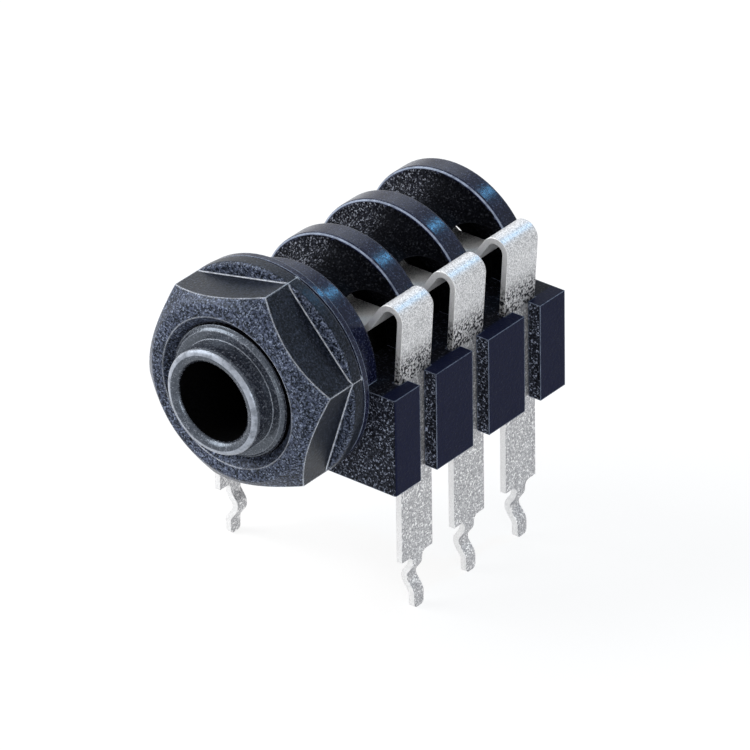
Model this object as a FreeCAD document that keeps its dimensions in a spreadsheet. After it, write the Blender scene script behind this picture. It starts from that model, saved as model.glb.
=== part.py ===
import FreeCAD, Part
import math
import os
import Sketcher

# Panel and board mounting socket for a quarter-inch (6.35 mm) audio plug.
# Frame: the origin is on the plug axis, in the plane where the housing's shoulder meets a panel.
# +Y is the way a plug goes in, +X is right seen from the front, +Z is up. Lengths are in mm.

SIZES = [
    ("plug_bore_radius", 3.24),
    ("nose_radius", 4.36),
    ("nose_length", 1.95),
    ("lip_round", 0.5),
    ("mouth_round", 0.55),
    ("bush_length", 5.35),
    ("bush_radius", 5.4),
    ("bush_chamfer", 0.35),
    ("shoulder_radius", 8.8),
    ("shoulder_thickness", 0.5),
    ("disc_radius", 7.3),
    ("rim_round", 0.22),
    ("contact_pitch", 6.35),
    ("contact_rows", 3),
    ("first_contact", 5.6),
    ("bay_width", 4.55),
    ("rear_wall", 1.73),
    ("core_radius", 5.4),
    ("core_wall", 0.7),
    ("window_top", 4.5),
    ("window_width", 4.4),
    ("window_round", 1.1),
    ("base_front", 1.6),
    ("base_top", 0.35),
    ("base_depth", 8.62),
    ("base_half_width", 10.3),
    ("base_edge_round", 0.2),
    ("head_depth", 1.15),
    ("head_gap", 1.95),
    ("coring_depth", 3.3),
    ("coring_length", 3.6),
    ("coring_half_width", 5.6),
    ("slot_clearance", 0.08),
    ("contact_width", 3.7),
    ("contact_thickness", 0.5),
    ("contact_foot", 15.95),
    ("tail_length", 4.55),
    ("tail_width", 1.15),
    ("tail_round", 0.5),
    ("tip_round", 0.35),
    ("kink_start", 0.85),
    ("kink_middle", 2.0),
    ("kink_end", 3.2),
    ("kink_depth", 0.8),
    ("kink_offset", 0.1),
    ("kink_round", 0.8),
    ("bend_round", 0.5),
    ("leg_round", 2.0),
    ("leg_lean", 0.6),
    ("hook_round", 0.95),
    ("hook_peak", 8.25),
    ("arm_knee_side", 5.56),
    ("arm_knee_round", 2.5),
    ("arm_height", 2.73),
    ("spring_nose_side", 1.87),
    ("spring_tip_side", 0.3),
    ("spring_tip_height", 4.1),
    ("break_turn_height", 0.8),
    ("break_bend_side", 3.3),
    ("break_bend_height", 2.7),
    ("break_tip_side", 0.2),
    ("break_tip_height", 3.5),
    ("nut_across_flats", 15.4),
    ("nut_front", 5.41),
    ("nut_seat_gap", 0.1),
    ("nut_turn", 12.3),
    ("nut_clearance", 0.06),
    ("nut_flange_overhang", 0.08),
    ("nut_flange_thickness", 1.3),
    ("nut_face_inset", 0.5),
    ("nut_face_round", 0.5),
    ("nut_corner_drop", 1.48),
    ("nut_mouth_radius", 6.17),
    ("nut_mouth_depth", 0.75),
    ("nut_edge_round", 0.25),
]


class Size:
    """A length that carries both its number and its spreadsheet formula."""

    def __init__(self, value, formula):
        self.value = value
        self.formula = formula

    def combine(self, other, sign, swapped=False):
        if not isinstance(other, Size):
            other = Size(other, repr(other))
        first, second = (other, self) if swapped else (self, other)
        if sign == "+":
            value = first.value + second.value
        elif sign == "-":
            value = first.value - second.value
        elif sign == "*":
            value = first.value * second.value
        else:
            value = first.value / second.value
        return Size(value, "(%s %s %s)" % (first.formula, sign, second.formula))

    def __add__(self, other):
        return self.combine(other, "+")

    def __radd__(self, other):
        return self.combine(other, "+", True)

    def __sub__(self, other):
        return self.combine(other, "-")

    def __rsub__(self, other):
        return self.combine(other, "-", True)

    def __mul__(self, other):
        return self.combine(other, "*")

    def __rmul__(self, other):
        return self.combine(other, "*", True)

    def __truediv__(self, other):
        return self.combine(other, "/")

    def __neg__(self):
        return self.combine(-1, "*")


doc = FreeCAD.newDocument("AudioJackSocket")
sheet = doc.addObject("Spreadsheet::Sheet", "Sizes")
for row, (name, number) in enumerate(SIZES, start=1):
    sheet.set("A%d" % row, name)
    sheet.set("B%d" % row, str(number))
    sheet.setAlias("B%d" % row, name)
doc.recompute()
size = {name: Size(float(sheet.get(name)), "Sizes." + name) for name, number in SIZES}
ZERO = Size(0.0, "0")


def new_body(label):
    body = doc.addObject("PartDesign::Body", label)
    body.Label = label
    return body


def origin_feature(body, role):
    return next(item for item in body.Origin.OriginFeatures if item.Role == role)


def new_sketch(body, name, plane, offset=ZERO):
    """A sketch on one of the body's own planes, moved along the plane's normal by offset."""
    sketch = body.newObject("Sketcher::SketchObject", name)
    sketch.AttachmentSupport = (origin_feature(body, plane), [""])
    sketch.MapMode = "FlatFace"
    sketch.setExpression("AttachmentOffset.Base.z", offset.formula)
    return sketch


def bind(sketch, kind, where, length):
    """Add one dimension to a sketch and tie it to the spreadsheet."""
    index = sketch.addConstraint(Sketcher.Constraint(kind, *where, length.value))
    sketch.setExpression("Constraints[%d]" % index, length.formula)


def place_point(sketch, geometry, position, x, y):
    bind(sketch, "DistanceX", (-1, 1, geometry, position), x)
    bind(sketch, "DistanceY", (-1, 1, geometry, position), y)


def outline(sketch, corners):
    """A closed outline of straight edges through corners given as pairs of sizes."""
    points = [FreeCAD.Vector(x.value, y.value, 0) for x, y in corners]
    first = sketch.GeometryCount
    for start, end in zip(points, points[1:] + points[:1]):
        sketch.addGeometry(Part.LineSegment(start, end))
    count = len(points)
    for step in range(count):
        follower = first + (step + 1) % count
        sketch.addConstraint(Sketcher.Constraint("Coincident", first + step, 2, follower, 1))
    for step, (x, y) in enumerate(corners):
        place_point(sketch, first + step, 1, x, y)


def circle(sketch, x, y, radius):
    centre = FreeCAD.Vector(x.value, y.value, 0)
    index = sketch.addGeometry(Part.Circle(centre, FreeCAD.Vector(0, 0, 1), radius.value))
    place_point(sketch, index, 3, x, y)
    bind(sketch, "Radius", (index,), radius)


def window_shape(sketch, middle, half_width, bottom, top, radius):
    """An upright opening whose two upper corners are rounded."""
    left = middle - half_width
    right = middle + half_width
    shoulder = top - radius
    corners = [
        (left + radius, top),
        (left, shoulder),
        (left, bottom),
        (right, bottom),
        (right, shoulder),
        (right - radius, top),
    ]
    points = [FreeCAD.Vector(x.value, y.value, 0) for x, y in corners]
    slant = radius.value * (1 - math.sqrt(0.5))
    left_bend = FreeCAD.Vector(left.value + slant, top.value - slant, 0)
    right_bend = FreeCAD.Vector(right.value - slant, top.value - slant, 0)
    shapes = [
        Part.Arc(points[0], left_bend, points[1]),
        Part.LineSegment(points[1], points[2]),
        Part.LineSegment(points[2], points[3]),
        Part.LineSegment(points[3], points[4]),
        Part.Arc(points[4], right_bend, points[5]),
        Part.LineSegment(points[5], points[0]),
    ]
    pieces = [sketch.addGeometry(shape) for shape in shapes]
    for number in (1, 2, 3, 5):
        place_point(sketch, pieces[number], 1, *corners[number])
    place_point(sketch, pieces[3], 2, *corners[4])
    place_point(sketch, pieces[5], 2, *corners[0])
    joints = [(1, 2, 2, 1), (2, 2, 3, 1), (0, 1, 5, 2), (0, 2, 1, 1), (4, 1, 3, 2), (4, 2, 5, 1)]
    for first, first_end, second, second_end in joints:
        sketch.addConstraint(
            Sketcher.Constraint("Coincident", pieces[first], first_end, pieces[second], second_end))
    bind(sketch, "DistanceX", (-1, 1, pieces[0], 3), left + radius)
    bind(sketch, "DistanceX", (-1, 1, pieces[4], 3), right - radius)


def rounded_path(sketch, corners, rounds):
    """An open path of straight runs; each inner corner is rounded to its own radius."""
    points = [FreeCAD.Vector(x.value, y.value, 0) for x, y in corners]
    starts = [points[0]]
    ends = []
    arcs = []
    centres = []
    for before, corner, after, radius in zip(points, points[1:], points[2:], rounds):
        back = (before - corner).normalize()
        ahead = (after - corner).normalize()
        half = back.getAngle(ahead) / 2
        reach = radius.value / math.tan(half)
        middle = (back + ahead).normalize()
        bend = corner + middle * (radius.value / math.sin(half) - radius.value)
        ends.append(corner + back * reach)
        starts.append(corner + ahead * reach)
        arcs.append(Part.Arc(ends[-1], bend, starts[-1]))
        centres.append(corner + middle * (radius.value / math.sin(half)))
    ends.append(points[-1])

    marks = []
    for point, (x, y) in zip(points, corners):
        marks.append(sketch.addGeometry(Part.Point(point), True))
        place_point(sketch, marks[-1], 1, x, y)
    runs = [sketch.addGeometry(Part.LineSegment(start, end)) for start, end in zip(starts, ends)]
    sketch.addConstraint(Sketcher.Constraint("Coincident", runs[0], 1, marks[0], 1))
    sketch.addConstraint(Sketcher.Constraint("Coincident", runs[-1], 2, marks[-1], 1))
    for number, run in enumerate(runs):
        if number > 0:
            sketch.addConstraint(Sketcher.Constraint("PointOnObject", marks[number], 1, run))
        if number < len(runs) - 1:
            sketch.addConstraint(Sketcher.Constraint("PointOnObject", marks[number + 1], 1, run))
    for number, arc in enumerate(arcs):
        index = sketch.addGeometry(arc)
        centre = centres[number]
        turn = (ends[number] - centre).cross(starts[number + 1] - centre).z
        first, last = (1, 2) if turn > 0 else (2, 1)
        sketch.addConstraint(Sketcher.Constraint("Tangent", runs[number], 2, index, first))
        sketch.addConstraint(Sketcher.Constraint("Tangent", runs[number + 1], 1, index, last))
        bind(sketch, "Radius", (index,), rounds[number])


def pad(body, name, sketch, length):
    feature = body.newObject("PartDesign::Pad", name)
    feature.Refine = False
    feature.Profile = sketch
    feature.setExpression("Length", length.formula)
    return feature


def pocket_through(body, name, sketch):
    """Cut a profile right through the body, both ways from the sketch."""
    feature = body.newObject("PartDesign::Pocket", name)
    feature.Refine = False
    feature.Profile = sketch
    feature.Type = "ThroughAll"
    feature.Midplane = True
    return feature


def turned(body, kind, name, sketch):
    """Revolve a profile about the plug axis, adding (Revolution) or cutting (Groove)."""
    feature = body.newObject("PartDesign::" + kind, name)
    feature.Refine = False
    feature.Profile = sketch
    feature.ReferenceAxis = (sketch, ["H_Axis"])
    feature.Angle = 360
    return feature


def repeat_rows(body, name, feature):
    """Repeat a feature at every contact, one pitch apart along the plug axis."""
    pattern = body.newObject("PartDesign::LinearPattern", name)
    pattern.Refine = False
    pattern.Originals = [feature]
    pattern.Direction = (origin_feature(body, "Y_Axis"), [""])
    pattern.setExpression("Length", (size["contact_pitch"] * (size["contact_rows"] - 1)).formula)
    pattern.setExpression("Occurrences", size["contact_rows"].formula)
    body.Tip = pattern
    doc.recompute()
    return pattern


def round_edges(body, name, radius, chosen):
    """Fillet the edges of the body's present shape that the function chosen accepts."""
    doc.recompute()
    base = body.Tip
    names = ["Edge%d" % (number + 1) for number, edge in enumerate(base.Shape.Edges) if chosen(edge)]
    fillet = body.newObject("PartDesign::Fillet", name)
    fillet.Refine = False
    fillet.Base = (base, names)
    fillet.setExpression("Radius", radius.formula)
    doc.recompute()
    return fillet


def is_ring(edge, radius, y=None):
    """True for a circular edge about the plug axis with this radius, at y where one is given."""
    curve = edge.Curve
    if not isinstance(curve, Part.Circle) or abs(curve.Radius - radius) > 0.01:
        return False
    if math.hypot(curve.Center.x, curve.Center.z) > 0.01:
        return False
    return y is None or abs(curve.Center.y - y) < 0.01


def is_upright(edge, side, y):
    """True for a vertical edge at this distance from the middle and this y."""
    low, high = edge.BoundBox.ZMin, edge.BoundBox.ZMax
    middle = edge.CenterOfMass
    level = abs(edge.Length - (high - low)) < 0.001
    return level and abs(abs(middle.x) - side) < 0.001 and abs(middle.y - y) < 0.001


def is_crosswise(edge, y, z):
    """True for a level edge parallel to X, at this distance in y from the middle and this z."""
    middle = edge.CenterOfMass
    width = edge.BoundBox.XMax - edge.BoundBox.XMin
    level = abs(edge.Length - width) < 0.001
    return level and abs(abs(middle.y) - y) < 0.001 and abs(middle.z - z) < 0.001


half_bay = size["bay_width"] / 2
last_contact = size["first_contact"] + size["contact_pitch"] * (size["contact_rows"] - 1)
body_rear = last_contact + half_bay + size["rear_wall"]
bush_front = -size["bush_length"]
nose_front = bush_front - size["nose_length"]
slot_outer = size["base_half_width"] - size["head_depth"]
slot_inner = slot_outer - size["contact_thickness"] - 2 * size["slot_clearance"]
tail_tip = -(size["contact_foot"] + size["tail_length"])
leg_side = slot_outer - size["slot_clearance"] - size["contact_thickness"] / 2


def make_housing():
    """One moulding: threaded bush, shoulder, ribbed barrel, and base with contact slots."""
    body = new_body("housing")

    # The turned outside: nose, bush, shoulder flange and barrel.
    profile = new_sketch(body, "barrel_profile", "YZ_Plane")
    chamfered = size["bush_radius"] - size["bush_chamfer"]
    outline(profile, [
        (nose_front, ZERO),
        (nose_front, size["nose_radius"]),
        (bush_front, size["nose_radius"]),
        (bush_front, chamfered),
        (bush_front + size["bush_chamfer"], size["bush_radius"]),
        (ZERO, size["bush_radius"]),
        (ZERO, size["shoulder_radius"]),
        (size["shoulder_thickness"], size["shoulder_radius"]),
        (size["shoulder_thickness"], size["disc_radius"]),
        (body_rear, size["disc_radius"]),
        (body_rear, ZERO),
    ])
    turned(body, "Revolution", "barrel", profile)

    # Round-bottomed grooves leave a disc between one contact bay and the next.
    groove = new_sketch(body, "bay_groove_profile", "YZ_Plane")
    circle(groove, size["first_contact"], size["core_radius"] + half_bay, half_bay)
    bay_groove = turned(body, "Groove", "bay_groove", groove)
    repeat_rows(body, "bay_grooves", bay_groove)
    rim = size["disc_radius"].value
    round_edges(body, "disc_rims", size["rim_round"],
                lambda edge: is_ring(edge, rim) and edge.Curve.Center.y > size["base_front"].value)

    # Inside each bay the barrel is hollowed out, so that the arms can move.
    chamber = new_sketch(body, "chamber_profile", "YZ_Plane")
    chamber_radius = size["core_radius"] - size["core_wall"]
    near = size["first_contact"] - half_bay
    far = size["first_contact"] + half_bay
    outline(chamber, [
        (near, ZERO),
        (near, chamber_radius),
        (far, chamber_radius),
        (far, ZERO),
    ])
    chamber_cut = turned(body, "Groove", "chamber", chamber)
    repeat_rows(body, "chambers", chamber_cut)

    # Round-cornered windows on both sides let the contact arms into the barrel.
    window = new_sketch(body, "window_outline", "YZ_Plane")
    window_shape(window, size["first_contact"], size["window_width"] / 2,
                 -size["core_radius"] / 2, size["window_top"], size["window_round"])
    window_cut = pocket_through(body, "window", window)
    repeat_rows(body, "windows", window_cut)

    # The base block closes the lower half of the barrel.
    block = new_sketch(body, "base_outline", "XY_Plane", -size["base_depth"])
    side = size["base_half_width"]
    outline(block, [
        (-side, size["base_front"]),
        (side, size["base_front"]),
        (side, body_rear),
        (-side, body_rear),
    ])
    pad(body, "base", block, size["base_depth"] - size["base_top"])

    # The plug bore runs from the nose to the back.
    bore = new_sketch(body, "plug_bore_outline", "XZ_Plane")
    circle(bore, ZERO, ZERO, size["plug_bore_radius"])
    pocket_through(body, "plug_bore", bore)

    # Undercut slots hold the contacts behind pairs of heads.
    slot = new_sketch(body, "contact_slot_outline", "XY_Plane", -size["base_depth"])
    half_slot = size["contact_width"] / 2 + size["slot_clearance"]
    half_gap = size["head_gap"] / 2
    centre = size["first_contact"]
    past_side = side + 1
    slot_corners = [
        (slot_inner, centre - half_slot),
        (slot_outer, centre - half_slot),
        (slot_outer, centre - half_gap),
        (past_side, centre - half_gap),
        (past_side, centre + half_gap),
        (slot_outer, centre + half_gap),
        (slot_outer, centre + half_slot),
        (slot_inner, centre + half_slot),
    ]
    for mirror in (1, -1):
        outline(slot, [(mirror * x, y) for x, y in slot_corners])
    slot_cut = pocket_through(body, "contact_slot", slot)
    repeat_rows(body, "contact_slots", slot_cut)

    # Coring pockets under each bay keep the moulding's walls even.
    core = new_sketch(body, "coring_outline", "XY_Plane", -size["base_depth"])
    core_side = size["coring_half_width"]
    half_core = size["coring_length"] / 2
    outline(core, [
        (-core_side, centre - half_core),
        (core_side, centre - half_core),
        (core_side, centre + half_core),
        (-core_side, centre + half_core),
    ])
    coring = body.newObject("PartDesign::Pocket", "coring")
    coring.Refine = False
    coring.Profile = core
    coring.Reversed = True
    coring.setExpression("Length", size["coring_depth"].formula)
    repeat_rows(body, "corings", coring)

    # Rounded nose lip and plug mouth, and the softened front corners of the base.
    nose = size["nose_radius"].value
    bore_radius = size["plug_bore_radius"].value
    front = nose_front.value
    round_edges(body, "lip", size["lip_round"], lambda edge: is_ring(edge, nose, front))
    round_edges(body, "mouth", size["mouth_round"], lambda edge: is_ring(edge, bore_radius, front))
    corner = (size["base_half_width"].value, size["base_front"].value)
    round_edges(body, "base_corners", size["base_edge_round"], lambda edge: is_upright(edge, *corner))
    return body


def tail_corners():
    """The solder tail, from its tip up to the foot of the straight leg."""
    foot_side = leg_side + size["kink_offset"]
    foot = -size["contact_foot"]
    return [
        (foot_side, tail_tip),
        (foot_side, foot - size["kink_end"]),
        (leg_side - size["kink_depth"], foot - size["kink_middle"]),
        (leg_side, foot - size["kink_start"]),
    ]


def make_contact(label, upper_corners, upper_rounds, row, turn):
    """A contact stamped from strip and bent along the tail's corners and then the upper ones."""
    body = new_body(label)
    corners = tail_corners() + upper_corners
    rounds = [size["kink_round"]] * 3 + upper_rounds

    path = new_sketch(body, "path", "XZ_Plane")
    rounded_path(path, corners, rounds)
    section = new_sketch(body, "strip_section", "XY_Plane", tail_tip)
    half_width = size["contact_width"] / 2
    inner = corners[0][0] - size["contact_thickness"] / 2
    outer = corners[0][0] + size["contact_thickness"] / 2
    outline(section, [
        (inner, -half_width),
        (outer, -half_width),
        (outer, half_width),
        (inner, half_width),
    ])
    doc.recompute()
    strip = body.newObject("PartDesign::AdditivePipe", "strip")
    strip.Refine = False
    strip.Profile = section
    strip.Spine = (path, ["Edge%d" % (number + 1) for number in range(len(path.Shape.Edges))])
    doc.recompute()

    # Notches on both sides leave a shoulder above a narrow tail.
    half_tail = size["tail_width"] / 2
    past_end = tail_tip - 1
    past_side = half_width + 1
    for side_name, sign in (("front", -1), ("rear", 1)):
        notch = new_sketch(body, side_name + "_notch_outline", "YZ_Plane")
        outline(notch, [
            (sign * half_tail, -size["contact_foot"]),
            (sign * past_side, -size["contact_foot"]),
            (sign * past_side, past_end),
            (sign * half_tail, past_end),
        ])
        pocket_through(body, side_name + "_notch", notch)
    foot = -size["contact_foot"].value
    round_edges(body, "shoulder_fillets", size["tail_round"],
                lambda edge: is_crosswise(edge, half_tail.value, foot))
    round_edges(body, "tip_rounds", size["tip_round"],
                lambda edge: is_crosswise(edge, half_tail.value, tail_tip.value))

    offset = size["first_contact"] + row * size["contact_pitch"]
    body.Placement = FreeCAD.Placement(FreeCAD.Vector(), FreeCAD.Rotation(FreeCAD.Vector(0, 0, 1), turn))
    body.setExpression("Placement.Base.y", offset.formula)
    doc.recompute()
    return body


def make_contacts():
    """Three springs on the right, and a low break contact opposite the first one."""
    spring_corners = [
        (leg_side, -size["base_top"]),
        (leg_side + size["leg_lean"], size["hook_peak"]),
        (size["arm_knee_side"], size["arm_height"]),
        (size["spring_nose_side"], size["arm_height"]),
        (-size["spring_tip_side"], size["spring_tip_height"]),
    ]
    bend = size["bend_round"]
    spring_rounds = [size["leg_round"], size["hook_round"], size["arm_knee_round"], bend]
    break_corners = [
        (leg_side, size["break_turn_height"]),
        (size["break_bend_side"], size["break_bend_height"]),
        (size["break_tip_side"], size["break_tip_height"]),
    ]
    springs = [
        make_contact(name, spring_corners, spring_rounds, row, 0)
        for row, name in enumerate(("sleeve_spring", "ring_spring", "tip_spring"))
    ]
    return springs + [make_contact("break_contact", break_corners, [bend, bend], 0, 180)]


def hexagon(sketch, across_flats, turn):
    """A regular hexagon about the origin, with one corner at the angle turn."""
    reach = across_flats.value / math.sqrt(3)
    corners = []
    for number in range(6):
        angle = math.radians(turn.value + 60 * number)
        degrees = "(%s + %d) * 1deg" % (turn.formula, 60 * number)
        scale = "%s / sqrt(3)" % across_flats.formula
        corners.append((
            Size(reach * math.cos(angle), "%s * cos(%s)" % (scale, degrees)),
            Size(reach * math.sin(angle), "%s * sin(%s)" % (scale, degrees)),
        ))
    outline(sketch, corners)


def make_nut():
    """The flanged hexagon nut that clamps the panel against the shoulder."""
    body = new_body("panel_nut")
    seat = size["nut_seat_gap"]
    flange_radius = size["shoulder_radius"] + size["nut_flange_overhang"]
    flange = new_sketch(body, "flange_outline", "XZ_Plane", seat)
    circle(flange, ZERO, ZERO, flange_radius)
    pad(body, "flange", flange, size["nut_flange_thickness"])
    round_edges(body, "flange_rim", size["nut_edge_round"],
                lambda edge: is_ring(edge, flange_radius.value))

    flats = new_sketch(body, "hexagon_outline", "XZ_Plane", seat)
    hexagon(flats, size["nut_across_flats"], size["nut_turn"])
    pad(body, "hexagon", flats, size["nut_front"] - seat)

    # The front corners are turned off to a round face.
    corner = new_sketch(body, "corner_profile", "YZ_Plane")
    outside = size["nut_across_flats"]
    face = outside / 2 - size["nut_face_inset"]
    slope = (outside / math.sqrt(3) - face) / size["nut_corner_drop"]
    drop = (outside - face) / slope
    outline(corner, [
        (-size["nut_front"], face),
        (-size["nut_front"] + drop, outside),
        (-size["nut_front"] - 1, outside),
        (-size["nut_front"] - 1, face),
    ])
    turned(body, "Groove", "corners", corner)
    round_edges(body, "face_round", size["nut_face_round"],
                lambda edge: is_ring(edge, face.value, -size["nut_front"].value))

    bore = new_sketch(body, "nut_bore_outline", "XZ_Plane")
    bore_radius = size["bush_radius"] + size["nut_clearance"]
    circle(bore, ZERO, ZERO, bore_radius)
    pocket_through(body, "nut_bore", bore)
    mouth = new_sketch(body, "nut_mouth_profile", "YZ_Plane")
    outline(mouth, [
        (-size["nut_front"], ZERO),
        (-size["nut_front"], size["nut_mouth_radius"]),
        (-size["nut_front"] + size["nut_mouth_depth"], bore_radius),
        (-size["nut_front"] + size["nut_mouth_depth"], ZERO),
    ])
    turned(body, "Groove", "nut_mouth", mouth)
    doc.recompute()
    return body


def check(subparts):
    """Stop if any object failed to compute or any sub-part isn't a sound solid."""
    for item in doc.Objects:
        if "Invalid" in item.State or "Error" in item.State:
            raise RuntimeError("%s (%s) did not compute" % (item.Label, item.Name))
    for subpart in subparts:
        shape = subpart.Shape
        if shape.isNull() or not shape.isValid() or not shape.Solids:
            raise RuntimeError("%s is not a sound solid" % subpart.Label)


subparts = [make_housing(), make_nut()] + make_contacts()
doc.recompute()
check(subparts)
os.makedirs("parts", exist_ok=True)
for subpart in subparts:
    subpart.Shape.exportStep("parts/%s.step" % subpart.Label)
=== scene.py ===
import math

import bpy
from mathutils import Matrix, Vector


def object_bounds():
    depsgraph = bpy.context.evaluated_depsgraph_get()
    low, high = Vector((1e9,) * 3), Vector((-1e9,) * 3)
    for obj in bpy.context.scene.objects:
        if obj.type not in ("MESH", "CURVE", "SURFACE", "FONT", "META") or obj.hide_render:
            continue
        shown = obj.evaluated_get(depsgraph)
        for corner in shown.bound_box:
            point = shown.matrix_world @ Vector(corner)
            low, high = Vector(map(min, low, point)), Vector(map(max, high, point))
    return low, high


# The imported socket, in metres: the origin is on the plug axis where the shoulder meets a panel.
# +Y is the way a plug goes in, +X is right seen from the front, and +Z is up from the board.
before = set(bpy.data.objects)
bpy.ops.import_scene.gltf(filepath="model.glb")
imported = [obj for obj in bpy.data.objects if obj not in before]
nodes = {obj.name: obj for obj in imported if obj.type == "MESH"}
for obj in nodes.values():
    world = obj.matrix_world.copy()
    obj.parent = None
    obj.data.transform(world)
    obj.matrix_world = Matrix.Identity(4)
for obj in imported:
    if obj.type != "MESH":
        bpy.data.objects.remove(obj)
cad_box = [list(corner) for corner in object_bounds()]
mm = 0.001


# Housing: one moulding in black glass-filled nylon, with the nose, threaded bush, shoulder,
# ribbed barrel and slotted base. Glass fibres near the skin give it a fine sparkle, and the
# sharp edges are painted pale: painted highlights.
class Value:
    """One output socket in a node tree. Sums with it add Math nodes."""

    def __init__(self, tree, socket):
        self.tree = tree
        self.socket = socket

    def math(self, operation, *others):
        inputs = {number: value for number, value in enumerate((self,) + others)}
        return self.tree.node("ShaderNodeMath", {"operation": operation}, inputs)

    def __add__(self, other):
        return self.math("ADD", other)

    __radd__ = __add__

    def __mul__(self, other):
        return self.math("MULTIPLY", other)

    __rmul__ = __mul__

    def __sub__(self, other):
        return self.math("SUBTRACT", other)

    def __rsub__(self, other):
        return (self * -1) + other

    def __truediv__(self, other):
        return self.math("DIVIDE", other)

    def clamped(self):
        return self.math("MAXIMUM", 0.0).math("MINIMUM", 1.0)

    def ramp(self, low, high):
        """0 below low and 1 above high, with a soft change between them."""
        settings = {"interpolation_type": "SMOOTHSTEP"}
        inputs = {"Value": self, "From Min": low, "From Max": high}
        return self.tree.node("ShaderNodeMapRange", settings, inputs)


class Tree:
    """The node tree of a material or of the surround."""

    def __init__(self, tree):
        self.nodes = tree.nodes
        self.links = tree.links

    def node(self, kind, settings, inputs, output=0):
        """Add a node: its settings first, then the values or links of its sockets."""
        made = self.nodes.new(kind)
        for name, setting in settings.items():
            setattr(made, name, setting)
        for name, value in inputs.items():
            self.feed(made.inputs[name], value)
        return Value(self, made.outputs[output])

    def feed(self, socket, value):
        if isinstance(value, Value):
            self.links.new(value.socket, socket)
        else:
            socket.default_value = value

    def seen(self):
        """1 for what the camera sees, also in gloss and glass, and 0 for what lights the part."""
        kinds = ("Is Camera Ray", "Is Glossy Ray", "Is Transmission Ray")
        camera, gloss, glass = [self.node("ShaderNodeLightPath", {}, {}, kind) for kind in kinds]
        return (camera + gloss + glass).clamped()


class Finish(Tree):
    """A procedural material for one surface finish."""

    def __init__(self, name):
        self.material = bpy.data.materials.new(name)
        self.material.use_nodes = True
        super().__init__(self.material.node_tree)
        self.shader = self.nodes["Principled BSDF"]
        self.place = self.node("ShaderNodeTexCoord", {}, {}, "Object")

    def surface(self, **inputs):
        for name, value in inputs.items():
            self.feed(self.shader.inputs[name.replace("_", " ")], value)

    def stretched(self, x, y, z):
        """The place on the surface, in millimetres, stretched along the three axes."""
        inputs = {0: self.place, 1: (x / mm, y / mm, z / mm)}
        return self.node("ShaderNodeVectorMath", {"operation": "MULTIPLY"}, inputs)

    def noise(self, where, scale, detail=2.0, roughness=0.5):
        inputs = {"Vector": where, "Scale": scale, "Detail": detail, "Roughness": roughness}
        return self.node("ShaderNodeTexNoise", {}, inputs, "Fac")

    def flecks(self, where, scale):
        """A different random number in each cell of a fine random mosaic."""
        cells = self.node("ShaderNodeTexVoronoi", {}, {"Vector": where, "Scale": scale}, "Color")
        return self.node("ShaderNodeSeparateColor", {}, {"Color": cells}, "Red")

    def mix(self, factor, first, second):
        """A colour between two colours."""
        settings = {"data_type": "RGBA"}
        inputs = {0: factor, 6: first, 7: second}
        return self.node("ShaderNodeMix", settings, inputs, 2)

    def axes(self, where):
        """The three coordinates of a place, as numbers."""
        split = {0: where}
        return [self.node("ShaderNodeSeparateXYZ", {}, split, axis) for axis in "XYZ"]

    def facing(self, axis):
        """How squarely the surface faces along one axis, from 0 to 1."""
        flat = self.node("ShaderNodeNewGeometry", {}, {}, "Normal")
        return self.axes(flat)[axis].math("ABSOLUTE")

    def edge(self, radius):
        """1 on sharp edges and 0 on open faces, with the softened normal that finds them."""
        soft = self.node("ShaderNodeBevel", {"samples": 6}, {"Radius": radius})
        flat = self.node("ShaderNodeNewGeometry", {}, {}, "Normal")
        normals = {0: soft, 1: flat}
        aligned = self.node("ShaderNodeVectorMath", {"operation": "DOT_PRODUCT"}, normals, "Value")
        return (1 - aligned), soft

    def bump(self, height, strength, distance, normal=None):
        inputs = {"Height": height, "Strength": strength, "Distance": distance}
        if normal is not None:
            inputs["Normal"] = normal
        self.surface(Normal=self.node("ShaderNodeBump", {}, inputs))


# Places in millimetres from the middle plane (the heads) or from the plug axis (the bush). The
# thread is shown as relief, and its depth is measured against the height of the skin's grain.
head_face = 10.1
head_root = 9.0
bush_root = 5.2
bush_crest = 5.45
thread_pitch = 0.5
thread_depth = 8.0
# Painted shade: the width in millimetres over which the darker right side fades in.
shade_fade = 2.6
nowhere = 99.0


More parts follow.
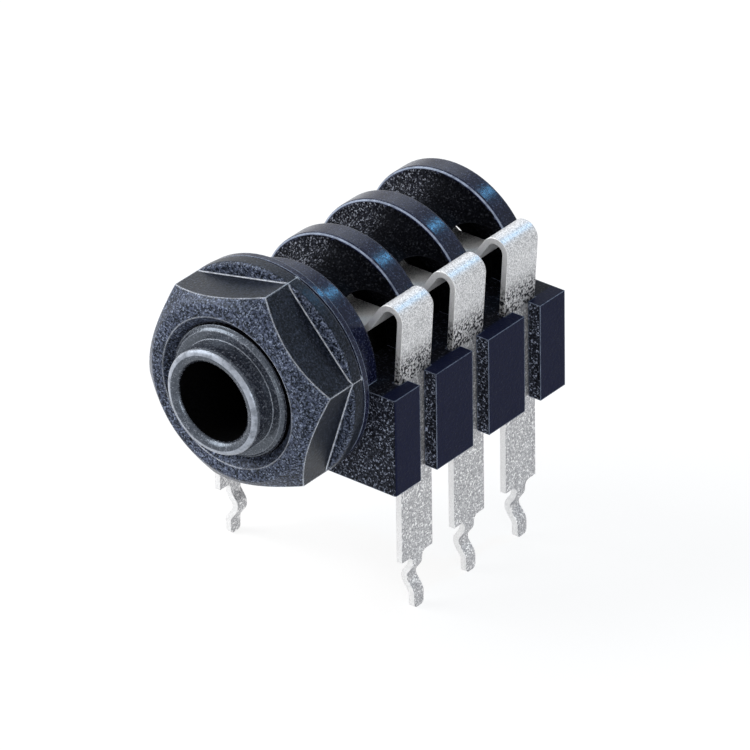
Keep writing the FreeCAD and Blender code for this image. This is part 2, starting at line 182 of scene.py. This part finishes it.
def black_moulding(name, dark, pale, fleck, highlight_tone, gloss, shine, fibres=10.0, relief=0.5,
                   edge_width=0.13, shade_from=nowhere, head=None, highlight_ring=None,
                   shaded_sides=False):
    """Black filled plastic: dark skin with paler mottling and fibre flecks, and the sharp edges
    painted pale as painted highlights.

    To the right of a given x the skin is painted darker, with almost no fibres or edge
    highlights: painted shade. The outer faces of the heads are painted darker too, with fewer
    flecks: painted shade. The heads that stand out at the sides take the head colour, except on
    their front and rear faces. A ring between two given radii is painted pale: a painted
    highlight. Faces that run along the plug axis can be painted darker, with fewer fibres:
    painted shade."""
    finish = Finish(name)
    where = finish.stretched(1, 1, 1)
    x, y, z = finish.axes(where)
    # Painted shade: to the right of the given x the skin loses its pale mottling, fibres and most
    # edge highlights.
    right_shade = x.ramp(shade_from, shade_from + shade_fade)
    side = x.math("ABSOLUTE")
    # Painted shade: the skin shows less pale mottling and fewer flecks on the heads' outer faces,
    # on the darker right side and on the darker side faces.
    texture_and_shade = (1 - side.ramp(head_face, head_face + 0.15) * 0.8) * (1 - right_shade * 0.93)
    # Painted shade: faces that run along the plug axis are painted darker, with fewer fibres.
    if shaded_sides:
        texture_and_shade = texture_and_shade * (0.15 + finish.facing(1).ramp(0.2, 0.6) * 0.85)
    grain = finish.noise(where, 4.5, 3.0)
    cloud = finish.noise(where, 0.6, 2.0)
    mottle = finish.noise(where, 6.0, 2.0, 0.6).ramp(0.4, 0.66)
    sparkle = finish.flecks(where, fibres).ramp(0.6, 1.0) * grain.ramp(0.38, 0.62)
    edges, soft = finish.edge(edge_width * mm)
    # Painted highlights: the sharp edges are painted pale, only faintly on the shaded right side.
    highlighted = edges.ramp(0.01, 0.1) * (1 - right_shade * 0.9)
    out = (x * x + z * z).math("SQRT")
    # Painted highlight: a ring between two given radii is painted pale.
    if highlight_ring:
        ring = out.ramp(highlight_ring[0], highlight_ring[0] + 0.06) * (1 - out.ramp(highlight_ring[1] - 0.03, highlight_ring[1]))
        highlighted = highlighted.math("MAXIMUM", ring)
    highlighted = highlighted * (0.5 + finish.noise(where, 1.6, 2.0).ramp(0.3, 0.6) * 0.5)
    skin = finish.mix(mottle * (0.5 + cloud * 0.6) * (0.1 + texture_and_shade * 0.9), dark, pale)
    flecked = finish.mix(sparkle * texture_and_shade, skin, fleck)
    if head:
        heads = side.ramp(head_root, head_root + 0.2) * (1 - finish.facing(1).ramp(0.6, 0.8))
        flecked = finish.mix(heads * (1 - mottle * 0.35), flecked, head)
    finish.surface(
        Base_Color=finish.mix(highlighted, flecked, highlight_tone),
        Roughness=grain * 0.2 + (gloss - 0.1) + cloud * 0.1,
        Specular_IOR_Level=shine,
        Specular_Tint=(0.72, 0.84, 1, 1),
    )
    around = x.math("ARCTAN2", z) / (2 * math.pi)
    crest = ((y / thread_pitch + around).math("FRACT") * 2 - 1).math("ABSOLUTE")
    on_bush = out.ramp(bush_root, bush_root + 0.1) * (1 - out.ramp(bush_crest - 0.03, bush_crest))
    thread = crest * on_bush * (1 - y.ramp(-0.1, 0.0)) * thread_depth
    finish.bump(grain + sparkle * 0.6 + thread, relief, 0.04 * mm, soft)
    return finish.material


# The barrel is painted darker from x = -2.2 mm to the right: painted shade on its right side.
barrel_skin = black_moulding(
    "barrel_skin",
    dark=(0.0005, 0.0005, 0.001, 1),
    pale=(0.018, 0.02, 0.03, 1),
    fleck=(0.3, 0.32, 0.38, 1),
    highlight_tone=(0.12, 0.13, 0.16, 1),
    gloss=0.45, shine=0.02, shade_from=-2.2)
# The base's faces along the plug axis, the heads' sides among them, are painted darker: painted
# shade.
base_skin = black_moulding(
    "base_skin",
    dark=(0.001, 0.001, 0.003, 1),
    pale=(0.03, 0.034, 0.05, 1),
    fleck=(0.43, 0.48, 0.62, 1),
    highlight_tone=(0.28, 0.33, 0.44, 1),
    head=(0.006, 0.008, 0.03, 1),
    gloss=0.45, shine=0.07, shaded_sides=True)
# Painted highlight: the rims take a pale ring where their edges are rounded, in place of the
# highlight lines along them.
rim_skin = black_moulding(
    "rim_skin",
    dark=(0.002, 0.003, 0.016, 1),
    pale=(0.012, 0.015, 0.045, 1),
    fleck=(0.06, 0.07, 0.12, 1),
    highlight_tone=(0.3, 0.35, 0.46, 1),
    gloss=0.18, shine=0.24, relief=0.2, highlight_ring=(7.1, 7.27))
rear_skin = black_moulding(
    "rear_skin",
    dark=(0.001, 0.001, 0.003, 1),
    pale=(0.03, 0.034, 0.05, 1),
    fleck=(0.17, 0.18, 0.22, 1),
    highlight_tone=(0.2, 0.22, 0.28, 1),
    gloss=0.42, shine=0.12)
# Painted highlight: the nose's rounded lip takes a pale ring.
nose_skin = black_moulding(
    "nose_skin",
    dark=(0.006, 0.007, 0.011, 1),
    pale=(0.04, 0.045, 0.06, 1),
    fleck=(0.16, 0.17, 0.2, 1),
    highlight_tone=(0.34, 0.365, 0.42, 1),
    gloss=0.22, shine=1.0, highlight_ring=(3.85, 4.3))
# Painted shade: the bore and the bays behind the windows take this near-black finish.
bore_shade_skin = black_moulding(
    "bore_shade_skin",
    dark=(0.001, 0.001, 0.001, 1),
    pale=(0.002, 0.002, 0.002, 1),
    fleck=(0.003, 0.003, 0.004, 1),
    highlight_tone=(0.004, 0.004, 0.005, 1),
    gloss=0.5, shine=0.02)


def dress(node, *materials):
    """Give a CAD node its finishes in place of the plain ones."""
    mesh = nodes[node].data
    mesh.materials.clear()
    for material in materials:
        mesh.materials.append(material)


# Where the finishes meet: places along the plug axis, distances from it, and heights.
rear_face = 22.2
bush_front = -4.0
base_front = 1.55
base_top = -0.3
bore_wall = 3.26
bay_radius = 5.2
bay_front = 0.5
bay_bottom = -5.0
rim_radius = 7.04


def housing_zone(face):
    """Which of the housing's finishes a face takes, from where its middle lies."""
    x, y, z = face.center / mm
    out = math.hypot(x, z)
    if y > rear_face:
        return "rear"
    # The bore and the bays behind the windows take the near-black finish: painted shade.
    if out < bore_wall or (out < bay_radius and y > bay_front and z > bay_bottom):
        return "bore"
    if y < bush_front:
        return "nose"
    if y > base_front and z < base_top:
        return "base"
    return "rim" if out > rim_radius else "barrel"


dress("housing", barrel_skin, base_skin, rim_skin, bore_shade_skin, nose_skin, rear_skin)
zones = ["barrel", "base", "rim", "bore", "nose", "rear"]
for face in nodes["housing"].data.polygons:
    face.material_index = zones.index(housing_zone(face))


# Panel nut: a flanged hexagon nut in the same black nylon, with a smoother skin.
# It is screwed up the bush against the panel. Its sharp edges are painted near white as
# painted highlights, and its flats and other faces along the plug axis are painted darker:
# painted shade.
nut_skin = black_moulding(
    "nut_skin",
    dark=(0.001, 0.002, 0.004, 1),
    pale=(0.1, 0.12, 0.19, 1),
    fleck=(0.28, 0.33, 0.45, 1),
    highlight_tone=(0.85, 0.9, 1, 1),
    gloss=0.28, shine=0.16, fibres=11.0, edge_width=0.2, shaded_sides=True)
dress("panel_nut", nut_skin)


# Contacts: bright plated copper-alloy strip, stamped and bent over at the top. The rolled
# grain runs along the strip and the legs are dull. The spring arms are painted paler, and the
# sharp edges and cut faces near white: painted highlights. Dark specks painted low on the
# hooks on the right side are painted shade.
slot_top = -0.2
speck_full = 0.9
speck_end = 2.9
arm_start = 3.0
arm_end = 6.6

strip = Finish("strip_metal")
where = strip.stretched(1, 1, 1)
side, along, height = strip.axes(where)
rolled = strip.noise(strip.stretched(1, 1, 0.12), 7.0, 3.0)
grain = strip.noise(where, 9.0, 3.0, 0.6).ramp(0.35, 0.65)
edges, soft = strip.edge(0.09 * mm)
sheared = strip.facing(1).ramp(0.5, 0.8)
leg = 1 - height.ramp(slot_top - 0.4, slot_top)
# Painted highlight: the spring arms are painted paler.
arm_highlight = side.ramp(arm_start, arm_start + 1.0) * (1 - side.ramp(arm_end, arm_end + 1.2))
# Painted shade: dark specks low on the hooks of the contacts on the right.
low = (1 - height.ramp(speck_full, speck_end)) * height.ramp(slot_top - 0.4, slot_top - 0.2)
shade_specks = strip.noise(where, 5.0, 1.0).ramp(0.42, 0.6) * low * side.ramp(0.0, 1.0)
glint = strip.flecks(where, 8.0).ramp(0.75, 0.95) * (1 - sheared) * (0.25 + leg * 0.6)
tone = strip.mix(rolled * 0.4 + grain * 0.6, (0.22, 0.225, 0.24, 1), (0.94, 0.94, 0.95, 1))
tone = strip.mix(arm_highlight * 0.6, tone, (1, 1, 1, 1))
tone = strip.mix(leg * (0.6 - grain * 0.4) * (1 - sheared), tone, (0.22, 0.22, 0.24, 1))
tone = strip.mix(glint, tone, (0.98, 0.98, 0.98, 1))
tone = strip.mix(shade_specks, tone, (0.015, 0.015, 0.02, 1))
# Painted highlights: the sharp edges and the cut faces are painted near white.
bright = edges.ramp(0.05, 0.25).math("MAXIMUM", sheared * (1 - shade_specks) * 0.7)
strip.surface(
    Base_Color=strip.mix(bright, tone, (0.95, 0.95, 0.95, 1)),
    Metallic=0.7,
    Roughness=0.38 + grain * 0.14,
)
strip.bump(grain + shade_specks, 0.2, 0.03 * mm, soft)
for name in ("sleeve_spring", "ring_spring", "tip_spring", "break_contact"):
    dress(name, strip.material)


# Studio: a pale floor under the solder tails and a dim even surround. A large soft lamp stands
# at the upper left, weaker ones at the right and behind, and a small blue one at the rear right
# makes the glints on the rims.
floor_level = cad_box[0][2]
floor_mesh = bpy.data.meshes.new("floor")
reach = 1.5
middle = Vector((0, 8, -2)) * mm
corners = [(-reach, -reach), (reach, -reach), (reach, reach), (-reach, reach)]
floor_mesh.from_pydata([(x, y, floor_level) for x, y in corners], [], [(0, 1, 2, 3)])
floor = bpy.data.objects.new("floor", floor_mesh)
bpy.context.scene.collection.objects.link(floor)
floor_paint = Finish("floor_paint")
grey = floor_paint.noise(floor_paint.stretched(1, 1, 1), 0.05)
floor_paint.surface(
    Base_Color=floor_paint.mix(grey, (0.78, 0.78, 0.78, 1), (0.8, 0.8, 0.8, 1)),
    Roughness=0.9,
    Specular_IOR_Level=0.0,
)
plain = Value(floor_paint, floor_paint.shader.outputs[0])
shadowed = floor_paint.node("ShaderNodeBsdfDiffuse", {}, {"Color": (0.2, 0.2, 0.2, 1)})
glow = floor_paint.node("ShaderNodeEmission", {}, {"Color": (1, 1, 1, 1), "Strength": 0.86})
white = floor_paint.node("ShaderNodeAddShader", {}, {0: shadowed, 1: glow})
shown = floor_paint.node("ShaderNodeMixShader", {}, {0: floor_paint.seen(), 1: plain, 2: white})
floor_paint.feed(floor_paint.nodes["Material Output"].inputs["Surface"], shown)
floor_mesh.materials.append(floor_paint.material)


def lamp(name, azimuth, elevation, distance, width, power, colour):
    """A square soft lamp aimed at the middle of the socket."""
    light = bpy.data.lights.new(name, "AREA")
    light.size = width
    light.energy = power
    light.color = colour
    holder = bpy.data.objects.new(name, light)
    bpy.context.scene.collection.objects.link(holder)
    turn = math.radians(azimuth)
    lift = math.radians(elevation)
    away = Vector((
        math.sin(turn) * math.cos(lift),
        -math.cos(turn) * math.cos(lift),
        math.sin(lift),
    ))
    holder.location = middle + away * distance
    holder.rotation_mode = "QUATERNION"
    holder.rotation_quaternion = away.to_track_quat("Z", "Y")


lamp("key", azimuth=-58, elevation=32, distance=0.5, width=0.36, power=2.7, colour=(1, 1, 1))
lamp("rim", azimuth=166, elevation=46, distance=0.5, width=0.035, power=0.34, colour=(0.2, 0.6, 1))
lamp("side", azimuth=58, elevation=10, distance=0.6, width=0.22, power=1.15, colour=(1, 1, 1))
lamp("back", azimuth=225, elevation=40, distance=0.6, width=0.4, power=0.5, colour=(0.9, 0.95, 1))

world = bpy.data.worlds.new("surround")
bpy.context.scene.world = world
world.use_nodes = True
air = Tree(world.node_tree)
air.nodes.remove(air.nodes["Background"])
dim = air.node("ShaderNodeBackground", {}, {"Color": (1, 1, 1, 1), "Strength": 0.3})
white = air.node("ShaderNodeBackground", {}, {"Color": (1, 1, 1, 1), "Strength": 1.0})
shown = air.node("ShaderNodeMixShader", {}, {0: air.seen(), 1: dim, 2: white})
air.feed(air.nodes["World Output"].inputs["Surface"], shown)


# Camera: a long lens from the front right, above, tilted by under a degree.
azimuth = math.radians(38.917)
elevation = math.radians(30.505)
roll = math.radians(-0.905)
distance = 0.7
back = Vector((
    math.sin(azimuth) * math.cos(elevation),
    -math.cos(azimuth) * math.cos(elevation),
    math.sin(elevation),
))
level = Vector((math.cos(azimuth), math.sin(azimuth), 0))
upright = back.cross(level)
across = math.cos(roll) * level + math.sin(roll) * upright
upward = -math.sin(roll) * level + math.cos(roll) * upright
move_right = 2.617 * mm
move_down = 2.341 * mm
place = middle + distance * back + move_right * across - move_down * upward
view = bpy.data.cameras.new("view")
view.lens = 447.06
view.sensor_width = 36
view.clip_start = 0.05
view.clip_end = 20
camera = bpy.data.objects.new("view", view)
bpy.context.scene.collection.objects.link(camera)
turned = Matrix((across, upward, back)).transposed().to_4x4()
camera.matrix_world = Matrix.Translation(place) @ turned
bpy.context.scene.camera = camera
bpy.context.scene.view_settings.view_transform = "Standard"
